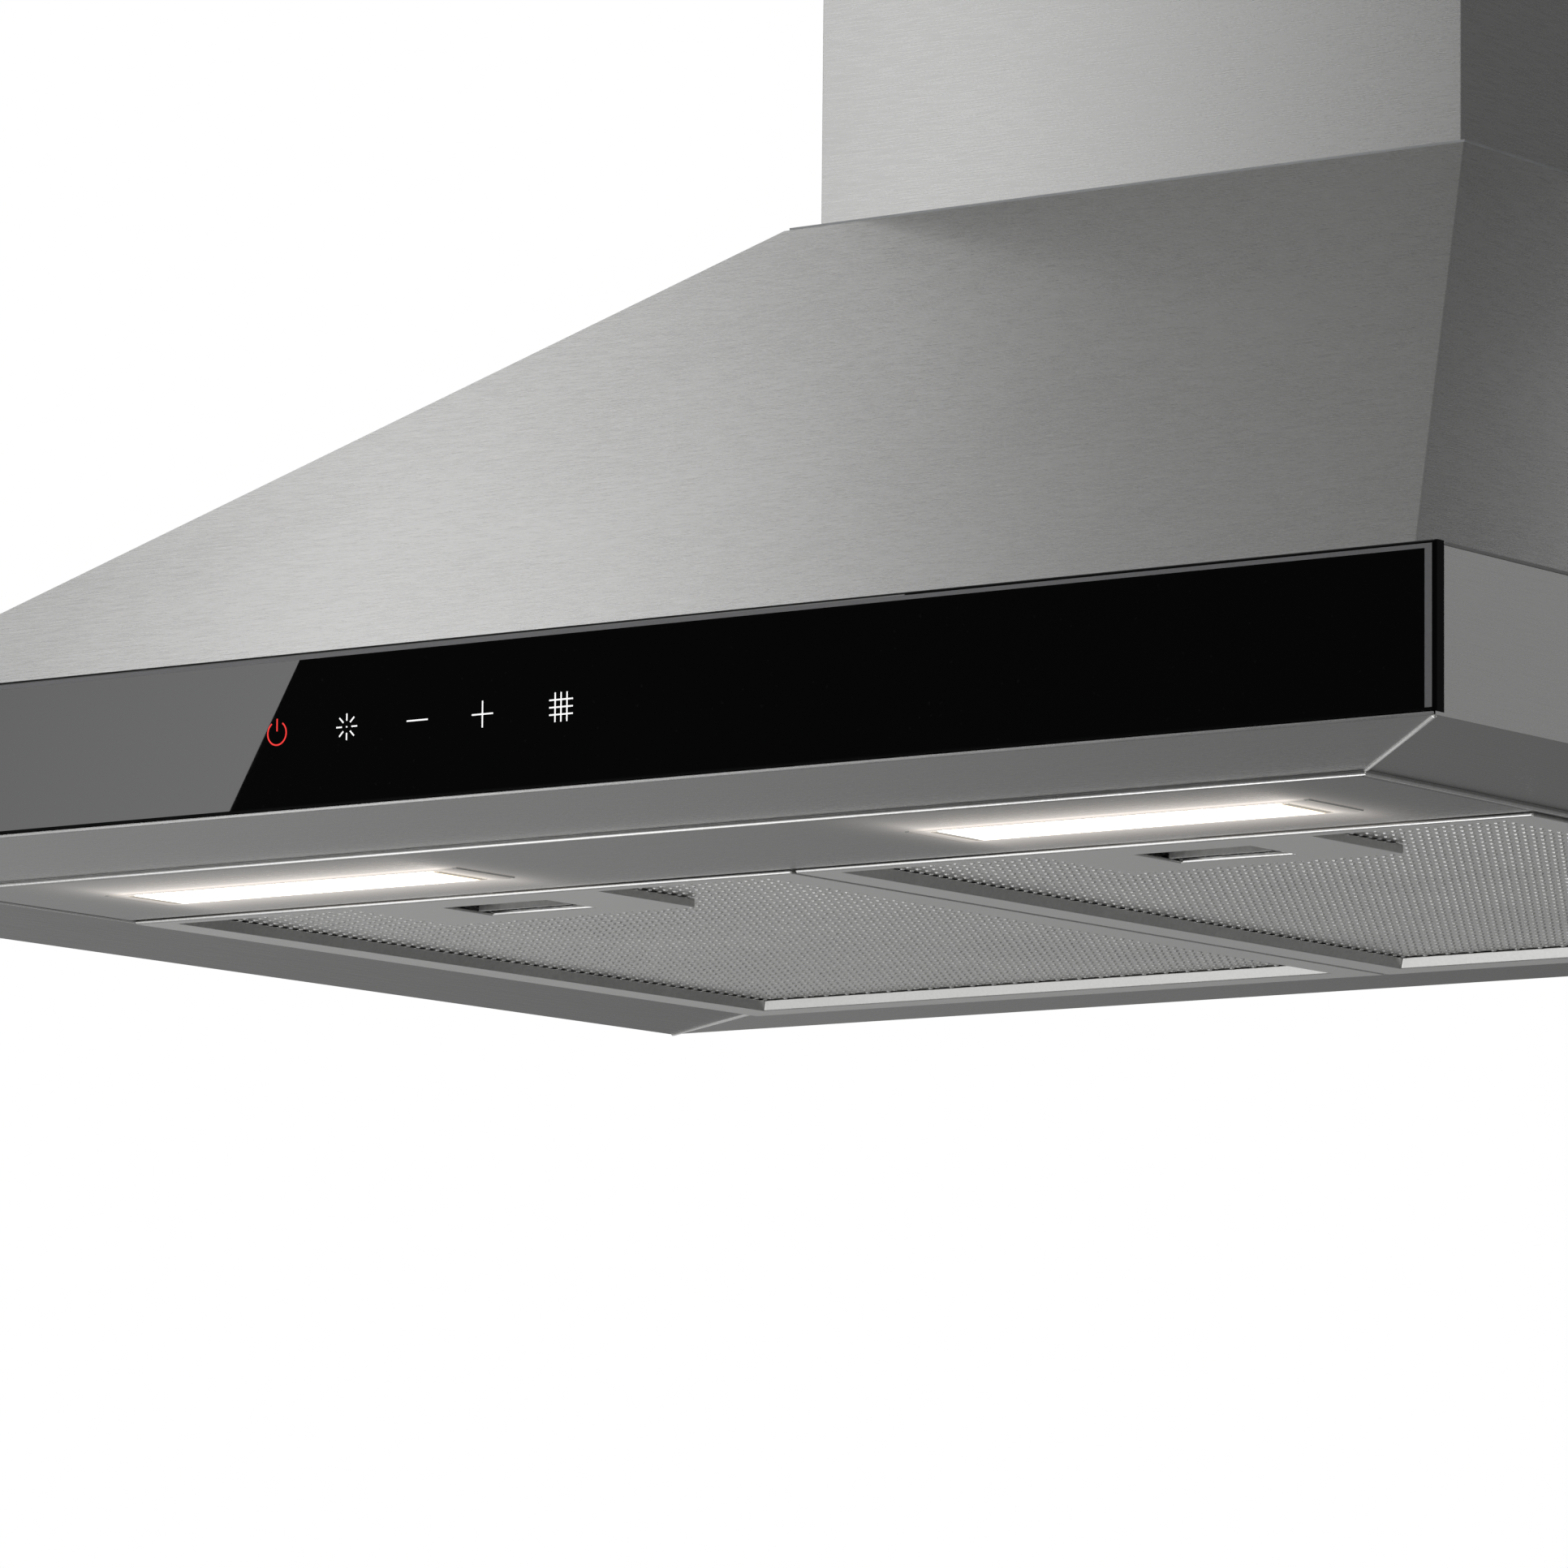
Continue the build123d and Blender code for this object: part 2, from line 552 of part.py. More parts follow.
def motor():
    rear = SCROLL_REAR + 2
    body = rod_y(0, MOTOR_FRONT, rear + 8, AXIS_Z, MOTOR_R)
    body += rod_y(0, SCROLL_REAR, rear, AXIS_Z, MOTOR_R + 12)
    save("motor", body - rod_y(0, MOTOR_FRONT - 1, MOTOR_FRONT + 50, AXIS_Z, SHAFT_R + RUNNING / 2))
    save("motor_shaft", rod_y(0, MOTOR_FRONT - 24, MOTOR_FRONT + 45, AXIS_Z, SHAFT_R))


def impeller():
    middle = (FAN_R + FAN_INNER) / 2
    disc_y = MOTOR_FRONT - 22
    wheel = rod_y(0, disc_y, disc_y + 2, AXIS_Z, FAN_R - 0.5)
    wheel += rod_y(0, disc_y, disc_y + 18, AXIS_Z, 3 * SHAFT_R)
    for y in (FAN_FRONT, FAN_REAR - 2):
        wheel += rod_y(0, y, y + 2, AXIS_Z, FAN_R) - rod_y(0, y - 1, y + 3, AXIS_Z, FAN_R - 6)
    blades = []
    for i in range(BLADES):
        turn = 360 * i / BLADES
        blade = Box(1.0, FAN_REAR - FAN_FRONT - 1, FAN_R - FAN_INNER - 0.6)
        place = Pos(0, (FAN_FRONT + FAN_REAR) / 2, AXIS_Z) * Rot(0, turn, 0) * Pos(0, 0, middle)
        blades.append(place * Rot(0, 30, 0) * blade)
    wheel += blades
    save("impeller", wheel - rod_y(0, disc_y - 1, disc_y + 19, AXIS_Z, SHAFT_R))


def outlet():
    """The box over the deck: its flanged base, four walls and lid, then the duct collar and the screws."""
    base, floor, roof = CANOPY_TOP, CANOPY_TOP + PLASTIC, BOX_TOP - PLASTIC
    side = BOX_HALF - BOX_FLANGE
    flange = block(-BOX_HALF, BOX_HALF, BOX_FRONT, BOX_REAR, base, floor)
    tongue = spiral(0)[0][0]
    neck = (SCROLL_FRONT + PLASTIC, SCROLL_REAR - PLASTIC)
    flange -= block(tongue, SCROLL_END, *neck, base - 1, floor + 1)
    for x, y in box_screw_places():
        flange -= rod_z(x, y, base - 1, floor + 1, BOX_SCREW_R + RUNNING)
    save("outlet_base", flange)
    walls = block(-side, side, BOX_FRONT, BOX_REAR, floor, roof)
    inside = (-side + PLASTIC, side - PLASTIC, BOX_FRONT + PLASTIC, BOX_REAR - PLASTIC)
    save("outlet_walls", walls - block(*inside, floor - 1, roof + 1))
    lid = block(-side, side, BOX_FRONT, BOX_REAR, roof, BOX_TOP)
    save("outlet_lid", lid - rod_z(0, COLLAR_Y, roof - 1, BOX_TOP + 1, COLLAR_R - COLLAR_WALL))

    collar = rod_z(0, COLLAR_Y, BOX_TOP, COLLAR_TOP, COLLAR_R)
    collar -= rod_z(0, COLLAR_Y, BOX_TOP - 1, COLLAR_TOP + 1, COLLAR_R - COLLAR_WALL)
    for side in (-1, 1):
        collar -= rod_x(-COLLAR_R - 1, COLLAR_R + 1, COLLAR_Y + side * FLAP_OFF, FLAP_Z, FLAP_PIN_R)
    save("duct_collar", collar)

    screws = []
    for x, y in box_screw_places():
        screw = rod_z(x, y, base - 4, floor, BOX_SCREW_R)
        screws.append(screw + rod_z(x, y, floor, floor + 2, 2 * BOX_SCREW_R))
    save("outlet_screws", *screws)


def flaps():
    pins = []
    for side, name in ((-1, "front"), (1, "rear")):
        y = COLLAR_Y + side * FLAP_OFF
        pins.append(rod_x(-COLLAR_R + 0.5, COLLAR_R - 0.5, y, FLAP_Z, FLAP_PIN_R))
        disc = rod_z(0, COLLAR_Y, FLAP_Z - 0.6, FLAP_Z + 0.6, FLAP_R)
        ys = sorted((y, y + side * 2 * FLAP_R))
        leaf = disc & block(-FLAP_R, FLAP_R, *ys, FLAP_Z - 5, FLAP_Z + 5)
        leaf += rod_x(-FLAP_R + 4, FLAP_R - 4, y, FLAP_Z, BARREL_R)
        leaf -= rod_x(-FLAP_R - 1, FLAP_R + 1, y, FLAP_Z, FLAP_PIN_R + RUNNING)
        save(f"flap_{name}", leaf)
    save("flap_pins", *pins)


def control_box():
    case = block(*CASE_X, *CASE_Y, *CASE_Z)
    inside = [(low + CASE_WALL, high - CASE_WALL) for low, high in (CASE_X, CASE_Y, CASE_Z)]
    save("control_case", case - block(*inside[0], *inside[1], *inside[2]))
    back = inside[1][1]
    save("control_board", block(
        inside[0][0] + CASE_WALL, inside[0][1] - CASE_WALL, back - BOARD, back,
        inside[2][0] + CASE_WALL, inside[2][1] - CASE_WALL,
    ))


body_rails()
top_ledge()
control_glass()
touch_module()
canopy()
back_panel()
deck_plate()
cable_gland()
chimney()
chimney_bracket()
lamp_panel()
blower_housing()
motor()
impeller()
outlet()
flaps()
control_box()
for SIDE, NAME in ((-1, "left"), (1, "right")):
    lamp(SIDE, NAME)
    filter_parts(SIDE, NAME)
    handle_plate(SIDE, NAME)
    latch(SIDE, NAME)
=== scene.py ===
from math import cos, hypot, pi, radians, sin

import bpy
from mathutils import Matrix, Vector

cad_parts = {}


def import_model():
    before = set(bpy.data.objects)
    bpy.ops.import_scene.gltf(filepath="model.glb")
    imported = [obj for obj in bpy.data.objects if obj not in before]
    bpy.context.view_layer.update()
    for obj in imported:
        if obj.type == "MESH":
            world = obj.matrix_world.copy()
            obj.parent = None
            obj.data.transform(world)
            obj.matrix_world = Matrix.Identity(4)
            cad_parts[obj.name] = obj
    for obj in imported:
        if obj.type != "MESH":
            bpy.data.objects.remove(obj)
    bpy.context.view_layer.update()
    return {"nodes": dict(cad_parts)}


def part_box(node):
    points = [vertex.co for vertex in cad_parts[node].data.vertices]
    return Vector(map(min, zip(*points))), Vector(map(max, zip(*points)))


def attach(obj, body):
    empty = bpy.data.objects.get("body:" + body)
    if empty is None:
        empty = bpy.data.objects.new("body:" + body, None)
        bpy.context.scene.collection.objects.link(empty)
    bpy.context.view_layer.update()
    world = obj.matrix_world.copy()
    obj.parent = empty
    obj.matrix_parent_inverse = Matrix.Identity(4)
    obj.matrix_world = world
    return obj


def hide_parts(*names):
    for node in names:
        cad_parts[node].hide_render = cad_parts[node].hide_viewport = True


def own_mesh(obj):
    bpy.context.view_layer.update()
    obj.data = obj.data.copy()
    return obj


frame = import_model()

# Wall-mounted chimney hood.  Metres; the room is at -Y, the wall at Y = 0, and Z is up.
MM = 0.001
NODES = frame["nodes"]
SCENE = bpy.context.scene

# ---- places read from the frame ----
GLASS_LOW, GLASS_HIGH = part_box("control_glass")
OUTER = GLASS_HIGH.x
STRIP_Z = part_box("right_rail")[0].z + 1.3 * MM      # underside of the strips, above their hem

# ---- sizes of the pieces made here ----
GLASS_INSET = 0.10 * MM        # the glass stands this far behind the printed symbols
GLASS_ROUND = 0.9 * MM
STRIP_PROUD = 0.03 * MM        # painted highlight strip round the front of the glass, standing for its polished edge
STRIP_TOP = 1.1 * MM
STRIP_END = 2.0 * MM

KEY_Z = GLASS_LOW.z + 20.0 * MM
KEY_HALF = 3.4 * MM
STROKE = 0.38 * MM
SYMBOL_PROUD = 0.07 * MM       # the symbols stand this far in front of the glass
KEYS = {"power": -49.0, "lamp": -26.0, "minus": -3.0, "plus": 18.0, "filter": 43.0}    # millimetres along X

RAIL = 11.5 * MM               # plain border of a filter sheet at its ends and its rear
RAIL_FRONT = 5.0 * MM
OVERLAP = 0.8 * MM             # the holes start this far inside the border
HOLE_PITCH = 4.5 * MM
ROW_PITCH = 3.9 * MM
HOLE_R = 0.55 * MM
COLLAR_R = 0.95 * MM           # foot of the drawn collar round each hole
COLLAR_H = 0.4 * MM

COIL_WIRE = 0.22 * MM          # radius of the latch springs' wire
COIL_TURNS = 9

HEM_R = 0.62 * MM              # rolled edges drawn as rods
BEZEL_EDGE = 0.3 * MM
FINGER_HALF = 17.0 * MM        # half the width of a handle's finger window
FINGER_BACK = 6.0 * MM         # its rear edge stands this far in front of the latch slide's rear

LED_PITCH = 9.0 * MM
LENS_DARK = 2.0 * MM           # the last bit of a lens does not shine
LENS_FADE = 4.0 * MM           # where the shine starts to fade
LENS_SHINE = 6.0
LENS_REST = 0.25

FOLD_ROUND = 0.35 * MM         # rounding of folded sheet
MOULD_ROUND = 0.4 * MM         # rounding of moulded cases

FLOOR_HALF = 14.0
FLOOR_Z = -5.0                 # far down, so that views from steeply below stay clear of it


# ---- camera: a long lens low down at the front right, tipped up a little ----
AZIMUTH = radians(36.43)
RISE = radians(7.40)
ROLL = radians(0.56)
LENS = 199.6
CAMERA_PLACE = Vector((1.365, -2.197, -0.390))


def make_camera():
    camera = bpy.data.cameras.new("camera")
    camera.lens = LENS
    camera.sensor_width = 36.0
    camera.clip_end = 50.0
    holder = bpy.data.objects.new("camera", camera)
    turn = Matrix.Rotation(AZIMUTH, 4, "Z") @ Matrix.Rotation(pi / 2 + RISE, 4, "X")
    holder.matrix_world = Matrix.Translation(CAMERA_PLACE) @ turn @ Matrix.Rotation(ROLL, 4, "Z")
    SCENE.collection.objects.link(holder)
    SCENE.camera = holder


# ---- node helpers ----
RANGE_SOCKETS = ("From Min", "From Max", "To Min", "To Max")


class Shader:
    """A node material with one Principled shader."""

    def __init__(self, name):
        self.material = bpy.data.materials.new(name)
        self.material.use_nodes = True
        self.tree = self.material.node_tree
        self.tree.nodes.clear()
        self.out = self.node("ShaderNodeOutputMaterial")
        self.bsdf = self.node("ShaderNodeBsdfPrincipled")
        self.wire(self.bsdf.outputs[0], self.out.inputs["Surface"])
        self.coords = self.node("ShaderNodeTexCoord")

    def node(self, kind, **settings):
        made = self.tree.nodes.new(kind)
        for key, value in settings.items():
            setattr(made, key, value)
        return made

    def wire(self, a, b):
        self.tree.links.new(a, b)

    def math(self, operation, a, b=0.0):
        made = self.node("ShaderNodeMath", operation=operation)
        for socket, value in zip(made.inputs, (a, b)):
            self.feed(socket, value)
        return made.outputs[0]

    def feed(self, socket, value):
        """Wires a socket to another one, or sets it to a number."""
        if isinstance(value, bpy.types.NodeSocket):
            self.wire(value, socket)
        else:
            socket.default_value = value

    def stretched(self, scale):
        """Object coordinates multiplied by a vector."""
        made = self.node("ShaderNodeVectorMath", operation="MULTIPLY")
        self.wire(self.coords.outputs["Object"], made.inputs[0])
        made.inputs[1].default_value = scale
        return made.outputs[0]

    def noise(self, vector, scale=1.0, detail=4.0, rough=0.6):
        made = self.node("ShaderNodeTexNoise")
        made.inputs["Scale"].default_value = scale
        made.inputs["Detail"].default_value = detail
        made.inputs["Roughness"].default_value = rough
        self.wire(vector, made.inputs["Vector"])
        return made.outputs[0]

    def spread(self, value, low, high, to_low, to_high):
        """Maps low..high to to_low..to_high, held at both ends."""
        made = self.node("ShaderNodeMapRange")
        for name, number in zip(RANGE_SOCKETS, (low, high, to_low, to_high)):
            made.inputs[name].default_value = number
        self.wire(value, made.inputs["Value"])
        return made.outputs[0]

    def mix(self, share, a, b):
        made = self.node("ShaderNodeMix", data_type="RGBA")
        self.feed(made.inputs["Factor"], share)
        for socket, value in ((made.inputs["A"], a), (made.inputs["B"], b)):
            self.feed(socket, value if isinstance(value, bpy.types.NodeSocket) else (*value, 1.0))
        return made.outputs["Result"]

    def bump(self, height, strength, distance):
        made = self.node("ShaderNodeBump")
        made.inputs["Strength"].default_value = strength
        made.inputs["Distance"].default_value = distance
        self.wire(height, made.inputs["Height"])
        self.wire(made.outputs[0], self.bsdf.inputs["Normal"])

    def plain(self, **values):
        """Sets sockets that are the same all over the surface."""
        for name, value in values.items():
            socket = self.bsdf.inputs[name.replace("_", " ")]
            socket.default_value = (*value, 1.0) if isinstance(value, tuple) else value


# ---- materials ----
GRAIN_FINE = 2600.0      # streaks per metre across the grain


def shades(colour, contrast):
    """A colour a little darker and a little lighter."""
    return tuple(c * (1 - contrast) for c in colour), tuple(c * (1 + contrast) for c in colour)


def brushed(name, colour=(0.60, 0.60, 0.595), rough=0.27, long=110.0, contrast=0.06, along_y=False,
            glow=None):
    """Brushed stainless steel.  The grain runs along X, or along Y on faces that look sideways."""
    s = Shader(name)
    across = s.noise(s.stretched((long, GRAIN_FINE, GRAIN_FINE)), detail=3.0)
    deep = s.noise(s.stretched((GRAIN_FINE, long, GRAIN_FINE)), detail=3.0)
    tangent = s.node("ShaderNodeCombineXYZ")
    if along_y:
        streak = deep
        tangent.inputs[0].default_value = 1.0
        tangent.inputs[2].default_value = 1.0
    else:
        parts = s.node("ShaderNodeSeparateXYZ")
        s.wire(s.coords.outputs["Normal"], parts.inputs[0])
        sideways = s.math("GREATER_THAN", s.math("ABSOLUTE", parts.outputs[0]), 0.5)
        streak = s.mix(sideways, across, deep)
        s.wire(s.math("SUBTRACT", 1.0, sideways), tangent.inputs[1])
        tangent.inputs[2].default_value = 1.0
    s.wire(tangent.outputs[0], s.bsdf.inputs["Tangent"])
    cloud = s.noise(s.coords.outputs["Object"], scale=9.0, detail=4.0)
    shade = s.math("ADD", s.math("MULTIPLY", streak, 0.75), s.math("MULTIPLY", cloud, 0.25))
    level = s.spread(shade, 0.35, 0.65, 0.0, 1.0)
    s.wire(s.mix(level, *shades(colour, contrast)), s.bsdf.inputs["Base Color"])
    smooth, dull = rough - 0.3 * contrast, rough + 0.6 * contrast
    s.wire(s.spread(shade, 0.35, 0.65, smooth, dull), s.bsdf.inputs["Roughness"])
    s.bump(streak, 0.6 * contrast, 0.05 * MM)
    s.plain(Metallic=1.0, Anisotropic=0.9)
    if glow:
        glow(s)
    return s.material


def painted_lamp_spill(s):
    """Painted glow: warm emission on the panel close round the two lenses, standing in for the light they
    spill, fading sooner along X than along Y.
    """
    low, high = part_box("lamp_lens_right")
    parts = s.node("ShaderNodeSeparateXYZ")
    s.wire(s.coords.outputs["Object"], parts.inputs[0])
    centre, half = (low + high) / 2, (high - low) / 2

    def beyond(value, middle, reach, fade):
        away = s.math("SUBTRACT", s.math("ABSOLUTE", s.math("SUBTRACT", value, middle)), reach)
        return s.math("DIVIDE", s.math("MAXIMUM", away, 0.0), fade)

    dx = beyond(s.math("ABSOLUTE", parts.outputs[0]), centre.x, half.x, 5.0 * MM)
    dy = beyond(parts.outputs[1], centre.y, half.y, 11.0 * MM)
    far = s.math("SQRT", s.math("ADD", s.math("MULTIPLY", dx, dx), s.math("MULTIPLY", dy, dy)))
    share = s.math("EXPONENT", s.math("MULTIPLY", far, -1.0))
    s.wire(s.mix(share, (0.0, 0.0, 0.0), (0.75, 0.69, 0.64)), s.bsdf.inputs["Emission Color"])
    s.plain(Emission_Strength=1.0)


def satin_metal(name, colour, rough, speckle=900.0, contrast=0.12):
    """Plain sheet or cast metal with a fine mottled surface."""
    s = Shader(name)
    fine = s.noise(s.coords.outputs["Object"], scale=speckle, detail=2.0)
    cloud = s.noise(s.coords.outputs["Object"], scale=22.0, detail=4.0)
    shade = s.math("ADD", s.math("MULTIPLY", fine, 0.5), s.math("MULTIPLY", cloud, 0.5))
    level = s.spread(shade, 0.3, 0.7, 0.0, 1.0)
    s.wire(s.mix(level, *shades(colour, contrast)), s.bsdf.inputs["Base Color"])
    s.wire(s.spread(shade, 0.3, 0.7, rough - 0.06, rough + 0.08), s.bsdf.inputs["Roughness"])
    s.bump(fine, 0.08, 0.05 * MM)
    s.plain(Metallic=1.0)
    return s.material


def plastic(name, colour, rough, grain=1500.0, bump=0.12, glow=None):
    """Moulded plastic with a fine spark-eroded texture."""
    s = Shader(name)
    fine = s.noise(s.coords.outputs["Object"], scale=grain, detail=2.0)
    cloud = s.noise(s.coords.outputs["Object"], scale=30.0, detail=3.0)
    s.wire(s.mix(cloud, *shades(colour, 0.15)), s.bsdf.inputs["Base Color"])
    s.wire(s.spread(cloud, 0.3, 0.7, rough - 0.05, rough + 0.05), s.bsdf.inputs["Roughness"])
    s.bump(fine, bump, 0.1 * MM)
    if glow:
        glow(s)
    return s.material


def black_glass():
    """Nearly black polished glass with faint smears and specks of dust."""
    s = Shader("black_glass")
    smear = s.noise(s.stretched((9.0, 9.0, 22.0)), detail=3.0)
    dust = s.noise(s.coords.outputs["Object"], scale=650.0, detail=1.0)
    speck = s.spread(dust, 0.71, 0.78, 0.0, 1.0)
    s.wire(s.mix(speck, (0.0004, 0.0004, 0.0005), (0.004, 0.004, 0.004)), s.bsdf.inputs["Base Color"])
    s.wire(s.spread(smear, 0.3, 0.7, 0.0, 0.012), s.bsdf.inputs["Roughness"])
    s.plain(Metallic=0.0, Specular_IOR_Level=0.15)
    return s.material


def printed(name, colour, strength):
    """A backlit key symbol."""
    s = Shader(name)
    glow = s.noise(s.coords.outputs["Object"], scale=420.0, detail=2.0)
    s.wire(s.mix(glow, tuple(c * 0.9 for c in colour), colour), s.bsdf.inputs["Base Color"])
    s.wire(s.mix(glow, tuple(c * 0.85 for c in colour), colour), s.bsdf.inputs["Emission Color"])
    s.plain(Emission_Strength=strength, Roughness=0.5)
    return s.material


def lamp_glow():
    """Frosted lamp lens: bright, a row of LEDs showing faintly through it, and dark at its two ends."""
    s = Shader("lamp_lens")
    parts = s.node("ShaderNodeSeparateXYZ")
    s.wire(s.coords.outputs["Object"], parts.inputs[0])
    wave = s.math("SINE", s.math("MULTIPLY", parts.outputs[0], 2 * pi / LED_PITCH))
    frost = s.noise(s.coords.outputs["Object"], scale=1500.0, detail=2.0)
    spot = s.spread(s.math("ADD", wave, s.math("MULTIPLY", frost, 0.3)), -0.8, 1.2, 0.0, 1.0)
    s.wire(s.mix(spot, (1.0, 0.80, 0.55), (1.0, 0.97, 0.90)), s.bsdf.inputs["Emission Color"])
    s.wire(s.mix(spot, (0.88, 0.85, 0.8), (0.95, 0.93, 0.9)), s.bsdf.inputs["Base Color"])
    s.bump(frost, 0.2, 0.1 * MM)
    low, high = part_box("lamp_lens_right")
    middle, reach = (low.x + high.x) / 2, (high.x - low.x) / 2
    along = s.math("ABSOLUTE", s.math("SUBTRACT", s.math("ABSOLUTE", parts.outputs[0]), middle))
    shine = s.spread(along, reach - LENS_FADE, reach - LENS_DARK, LENS_SHINE, LENS_REST)
    s.wire(shine, s.bsdf.inputs["Emission Strength"])
    s.plain(Roughness=0.6)
    return s.material


def circuit_board():
    """Green board with dark square parts standing on it."""
    s = Shader("circuit_board")
    cells = s.node("ShaderNodeTexVoronoi", distance="CHEBYCHEV")
    cells.inputs["Scale"].default_value = 160.0
    s.wire(s.coords.outputs["Object"], cells.inputs["Vector"])
    parts = s.spread(cells.outputs["Distance"], 0.28, 0.34, 1.0, 0.0)
    s.wire(s.mix(parts, (0.015, 0.085, 0.035), (0.05, 0.05, 0.055)), s.bsdf.inputs["Base Color"])
    s.bump(parts, 0.6, 0.5 * MM)
    s.plain(Roughness=0.45)
    return s.material


def mesh_core():
    """Expanded aluminium mesh seen through the perforation, with painted shade in the openings between its
    strands.
    """
    s = Shader("mesh_core")
    cells = s.node("ShaderNodeTexVoronoi", feature="DISTANCE_TO_EDGE")
    cells.inputs["Scale"].default_value = 420.0
    s.wire(s.coords.outputs["Object"], cells.inputs["Vector"])
    strand = s.spread(cells.outputs["Distance"], 0.06, 0.16, 1.0, 0.0)
    # Painted shade: dark in the openings, light on the strands.
    s.wire(s.mix(strand, (0.10, 0.10, 0.10), (0.82, 0.82, 0.81)), s.bsdf.inputs["Base Color"])
    s.wire(s.spread(strand, 0.0, 1.0, 0.6, 0.3), s.bsdf.inputs["Roughness"])
    s.bump(strand, 0.8, 0.4 * MM)
    s.plain(Metallic=0.9)
    return s.material


# ---- mesh helpers ----
def piece(name, points, faces, material, body, smooth=False):
    """One visual mesh that rides on a body; material is one material or a list."""
    mesh = bpy.data.meshes.new(name)
    mesh.from_pydata(points, [], faces)
    mesh.validate()
    made = bpy.data.objects.new(name, mesh)
    SCENE.collection.objects.link(made)
    for each in material if isinstance(material, (list, tuple)) else [material]:
        mesh.materials.append(each)
    if smooth:
        mesh.shade_smooth()
    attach(made, body)
    return made


def bevelled(obj, width, segments=2):
    """Rounds an object's sharp edges without touching its mesh."""
    weld = obj.modifiers.new("weld", "WELD")
    weld.merge_threshold = 0.001 * MM
    bevel = obj.modifiers.new("bevel", "BEVEL")
    bevel.width = width
    bevel.segments = segments
    bevel.limit_method = "ANGLE"
    bevel.angle_limit = radians(25)
    bevel.harden_normals = True


def tube_faces(rings, sides):
    """Faces of a tube through a row of rings, closed at both ends."""
    faces = []
    for i in range(rings - 1):
        here, there = sides * i, sides * (i + 1)
        for k in range(sides):
            beside = (k + 1) % sides
            faces.append((here + k, here + beside, there + beside, there + k))
    last = sides * (rings - 1)
    return faces + [tuple(range(sides))[::-1], tuple(range(last, last + sides))]


class Build:
    """Collects points and faces for one mesh."""

    def __init__(self):
        self.points = []
        self.faces = []
        self.marks = []

    def add(self, points, faces, mark=0):
        first = len(self.points)
        self.points += [tuple(p) for p in points]
        self.faces += [tuple(first + i for i in f) for f in faces]
        self.marks += [mark] * len(faces)

    def slab(self, outline, low, high, place):
        """A flat outline (a, b) with thickness from low to high; place makes (a, b, height) a point."""
        n = len(outline)
        points = [place(a, b, h) for h in (low, high) for a, b in outline]
        sides = [(i, (i + 1) % n, n + (i + 1) % n, n + i) for i in range(n)]
        self.add(points, [tuple(range(n))[::-1], tuple(range(n, 2 * n))] + sides)

    def piece(self, name, material, body, slot=None, smooth=False):
        made = piece(name, self.points, self.faces, material, body, smooth)
        for polygon, mark in zip(made.data.polygons, self.marks):
            polygon.material_index = mark
        return made


# ---- control glass and its key symbols ----
def glass_strip(material):
    """A grey strip along the two ends and the top of the glass's front: a painted highlight of its polished
    edge.
    """
    y = GLASS_LOW.y + GLASS_INSET - STRIP_PROUD
    x0, x1 = GLASS_LOW.x + GLASS_ROUND, GLASS_HIGH.x - GLASS_ROUND
    z0, z1 = GLASS_LOW.z + GLASS_ROUND, GLASS_HIGH.z - GLASS_ROUND
    build = Build()
    under = z1 - STRIP_TOP
    strips = ((x0, x1, under, z1), (x0, x0 + STRIP_END, z0, under), (x1 - STRIP_END, x1, z0, under))
    for xa, xb, za, zb in strips:
        front = [(xa, y, za), (xb, y, za), (xb, y, zb), (xa, y, zb)]
        back = [(x, y + 2 * STRIP_PROUD, z) for x, _, z in front]
        sides = [(i, 4 + i, 4 + (i + 1) % 4, (i + 1) % 4) for i in range(4)]
        build.add(front + back, [(0, 1, 2, 3), (7, 6, 5, 4)] + sides)
    build.piece("glass_strip", material, "housing", "black_glass")


def bezel_edges(side, material):
    """Rods of lighter metal along the front and the right-hand end of a lamp's bezel: painted highlights on
    its edges.
    """
    low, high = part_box(f"lamp_case_{side}")
    z = low.z + BEZEL_EDGE
    build = Build()
    front, rear = low.y + BEZEL_EDGE, high.y - BEZEL_EDGE
    rod(build, (low.x + BEZEL_EDGE, front, z), (high.x - BEZEL_EDGE, front, z), BEZEL_EDGE)
    rod(build, (high.x - BEZEL_EDGE, front, z), (high.x - BEZEL_EDGE, rear, z), BEZEL_EDGE)
    build.piece(f"bezel_edge_{side}", material, "housing", "light_plastic")


def control_glass(material):
    """The glass as an inset stack of outlines, so that its front edge is rounded."""
    x0, x1 = GLASS_LOW.x, GLASS_HIGH.x
    z0, z1 = GLASS_LOW.z, GLASS_HIGH.z
    steps = 5
    build = Build()
    rings = [(0.0, GLASS_HIGH.y)]
    for i in range(steps + 1):
        turn = pi / 2 * i / steps
        y = GLASS_LOW.y + GLASS_INSET + GLASS_ROUND * (1 - sin(turn))
        rings.append((GLASS_ROUND * (1 - cos(turn)), y))
    points = []
    for inset, y in rings:
        points += [(x0 + inset, y, z0 + inset), (x1 - inset, y, z0 + inset)]
        points += [(x1 - inset, y, z1 - inset), (x0 + inset, y, z1 - inset)]
    faces = [(3, 2, 1, 0)]
    for ring in range(len(rings) - 1):
        for i in range(4):
            j = (i + 1) % 4
            faces.append((4 * ring + i, 4 * ring + j, 4 * ring + 4 + j, 4 * ring + 4 + i))
    last = 4 * (len(rings) - 1)
    faces.append((last, last + 1, last + 2, last + 3))
    build.add(points, faces)
    made = build.piece("control_glass_front", material, "housing", "black_glass")
    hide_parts("control_glass")


def arc(radius, start, stop, width, steps=28):
    """The outer and the inner side of a bent stroke, both from start to stop."""
    angles = [start + (stop - start) * i / steps for i in range(steps + 1)]
    return [[(r * cos(t), r * sin(t)) for t in angles] for r in (radius + width / 2, radius - width / 2)]


